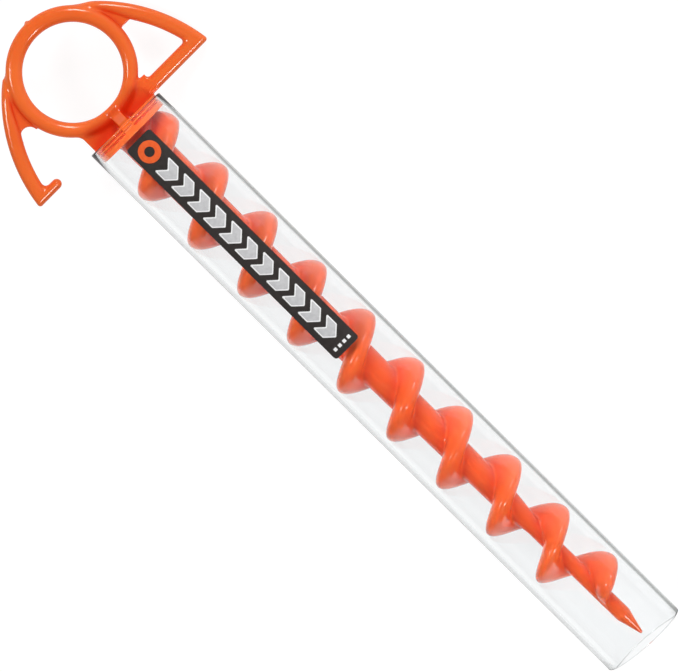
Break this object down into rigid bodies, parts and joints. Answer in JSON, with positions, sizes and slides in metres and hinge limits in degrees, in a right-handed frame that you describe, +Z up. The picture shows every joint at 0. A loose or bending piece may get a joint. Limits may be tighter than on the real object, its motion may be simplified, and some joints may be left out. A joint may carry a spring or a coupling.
{
  "type": "screw-in ground anchor with storage tube",
  "caption": "Plastic auger-like ground anchor with an eye, a hook and a closed wing, stored in a clear sleeve tube that slides off over its tip.",
  "frame": {"origin": "on the surface it lies on, under the middle of its length and on the screw's axis in plan", "axes": "+X along the screw's axis from the head to the tip, +Y towards the closed wing, +Z up"},
  "size_m": [0.2431, 0.064, 0.0258],
  "materials": {
    "moulding": "glossy injection-moulded orange plastic, slightly translucent",
    "clear_tube": "clear extruded plastic",
    "label_black": "satin black printed film",
    "label_orange": "satin orange print",
    "label_grey": "satin light grey print"
  },
  "bodies": {
    "screw": {"eye_ring": "moulding", "closed_wing_arm": "moulding", "closed_wing_bar": "moulding", "closed_wing_web": "moulding", "hook_arm": "moulding", "hook_toe": "moulding", "hook_web": "moulding", "neck_plate": "moulding", "upper_gusset": "moulding", "lower_gusset": "moulding", "tube_plug": "moulding", "shank": "moulding", "flight": "moulding", "drill_end": "moulding"},
    "tube": {"sleeve_tube": "clear_tube", "label_film": "label_black", "label_emblem": "label_orange", "label_chevrons": "label_grey"}
  },
  "joints": [
    {"name": "tube_slide", "type": "slide", "parent": "screw", "child": "tube", "axis": [1, 0, 0], "range_m": [0, 0.206]}
  ]
}
